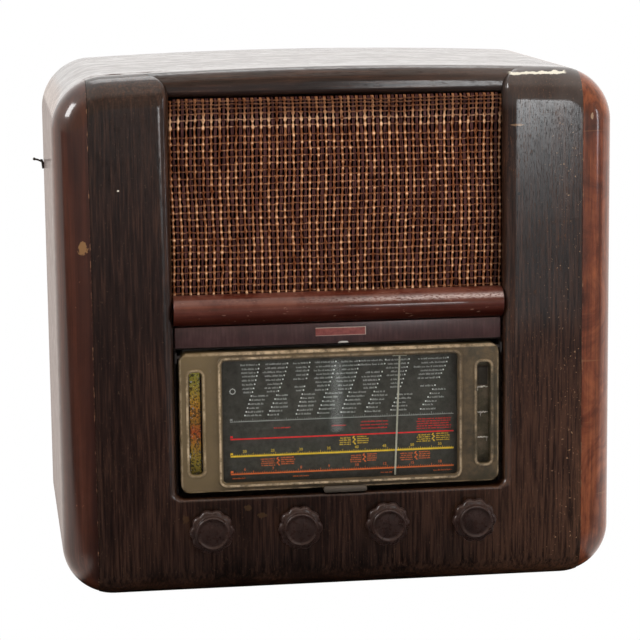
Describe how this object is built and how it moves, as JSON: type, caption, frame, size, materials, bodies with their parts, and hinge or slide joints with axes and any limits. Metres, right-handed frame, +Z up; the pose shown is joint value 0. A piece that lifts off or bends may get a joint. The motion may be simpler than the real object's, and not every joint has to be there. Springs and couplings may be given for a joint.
{
  "type": "table radio",
  "caption": "Large veneered table radio with rolled cabinet edges, a wide cloth grille, a tilting bakelite dial with sliding pointer, and a row of lobed knobs.",
  "frame": {"origin": "middle of the footprint, on the surface the feet stand on", "axes": "+Z up, -Y is the front with the dial and knobs, +X to the right of someone facing the front"},
  "size_m": [0.55, 0.336, 0.52],
  "materials": {
    "walnut_veneer": "glossy lacquered red-brown walnut veneer, worn on its edges",
    "dark_veneer": "dark stained veneer with vertical grain, satin gloss lacquer",
    "plywood": "bare plywood",
    "grille_cloth": "coarse open weave in brown, rust and straw threads",
    "moulding_wood": "red-brown stained hardwood, glossy and rubbed",
    "badge_enamel": "red enamel on a small metal plate",
    "hardboard": "matt pressed board",
    "rubber": "matt",
    "plated_steel": "dull cadmium plate",
    "paper_cone": "matt felted paper",
    "dark_steel": "black paint",
    "bright_steel": "turned steel",
    "aluminium": "drawn aluminium",
    "valve_glass": "blown glass over a moulded base",
    "knob_bakelite": "dark brown bakelite, lightly dulled",
    "dial_bakelite": "bronze-brown bakelite, rubbed pale along its edges",
    "dial_glass": "clear glass",
    "scale_print": null,
    "pointer_paint": "cream white paint",
    "indicator_paint": "printed strip, green to orange",
    "rubber_flex": "braided flex"
  },
  "bodies": {
    "cabinet": {"cabinet_case": "walnut_veneer", "corner_post_left": "walnut_veneer", "corner_post_right": "walnut_veneer", "front_frame": "dark_veneer", "top_rail": "dark_veneer", "baffle_board": "plywood", "speaker_cloth": "grille_cloth", "cloth_moulding": "moulding_wood", "badge_strip": "moulding_wood", "blank_badge": "badge_enamel", "back_cover": "hardboard", "foot_front_left": "rubber", "foot_front_right": "rubber", "foot_back_left": "rubber", "foot_back_right": "rubber", "cover_screw_1": "plated_steel", "cover_screw_2": "plated_steel", "cover_screw_3": "plated_steel", "cover_screw_4": "plated_steel", "chassis": "plated_steel", "speaker_basket": "plated_steel", "speaker_cone": "paper_cone", "speaker_magnet": "dark_steel", "mains_transformer": "dark_steel", "output_transformer": "dark_steel", "gang_bracket": "bright_steel", "tone_control": "bright_steel", "volume_control": "bright_steel", "band_switch": "bright_steel", "dial_pivot_left": "bright_steel", "dial_pivot_right": "bright_steel", "if_can_first": "aluminium", "if_can_second": "aluminium", "gang_frame": "aluminium", "valve_rectifier": "valve_glass", "valve_output": "valve_glass", "valve_converter": "valve_glass", "valve_if": "valve_glass", "valve_detector": "valve_glass", "mains_lead": "rubber_flex", "aerial_lead": "rubber_flex"},
    "tone": {"tone_knob": "knob_bakelite", "tone_shaft": "bright_steel"},
    "volume": {"volume_knob": "knob_bakelite", "volume_shaft": "bright_steel"},
    "tuning": {"tuning_knob": "knob_bakelite", "tuning_shaft": "bright_steel"},
    "band": {"band_knob": "knob_bakelite", "band_shaft": "bright_steel"},
    "gang": {"gang_rotor": "aluminium", "cord_drum": "knob_bakelite"},
    "dial": {"dial_housing": "dial_bakelite", "dial_glass": "dial_glass", "scale_plate": "scale_print", "tone_lens": "dial_glass", "band_lens": "dial_glass", "pull_tab": "dial_bakelite"},
    "pointer": {"pointer": "pointer_paint"},
    "tone_flag": {"tone_indicator": "indicator_paint"},
    "band_flag": {"band_indicator": "indicator_paint"}
  },
  "joints": [
    {"name": "tone_turn", "type": "hinge", "parent": "cabinet", "child": "tone", "pos_m": [-0.1305, -0.148, 0.071], "axis": [0, 1, 0], "range_deg": [-135, 135]},
    {"name": "volume_turn", "type": "hinge", "parent": "cabinet", "child": "volume", "pos_m": [-0.0435, -0.148, 0.071], "axis": [0, 1, 0], "range_deg": [0, 300]},
    {"name": "tuning_turn", "type": "hinge", "parent": "cabinet", "child": "tuning", "pos_m": [0.0435, -0.148, 0.071], "axis": [0, 1, 0], "range_deg": [-805.5, 274.5]},
    {"name": "band_turn", "type": "hinge", "parent": "cabinet", "child": "band", "pos_m": [0.1305, -0.148, 0.071], "axis": [0, 1, 0], "range_deg": [0, 90]},
    {"name": "gang_turn", "type": "hinge", "parent": "cabinet", "child": "gang", "pos_m": [0, -0.05, 0.17], "axis": [0, 1, 0], "range_deg": [-134.5, 46]},
    {"name": "dial_tilt", "type": "hinge", "parent": "cabinet", "child": "dial", "pos_m": [0, -0.136, 0.241], "axis": [-1, 0, 0], "range_deg": [0, 32]},
    {"name": "pointer_travel", "type": "slide", "parent": "dial", "child": "pointer", "axis": [1, 0, 0], "range_m": [-0.1661, 0.0566]},
    {"name": "tone_travel", "type": "slide", "parent": "dial", "child": "tone_flag", "axis": [0, 0, 1], "range_m": [-0.012, 0.012]},
    {"name": "band_travel", "type": "slide", "parent": "dial", "child": "band_flag", "axis": [0, 0, -1], "range_m": [0, 0.0709]}
  ],
  "couplings": [
    {"joint": "gang_turn", "follows": "tuning_turn", "ratio": 0.16667},
    {"joint": "pointer_travel", "follows": "tuning_turn", "m_per_rad": 0.011804},
    {"joint": "tone_travel", "follows": "tone_turn", "m_per_rad": 0.00509},
    {"joint": "band_travel", "follows": "band_turn", "m_per_rad": 0.045073}
  ]
}
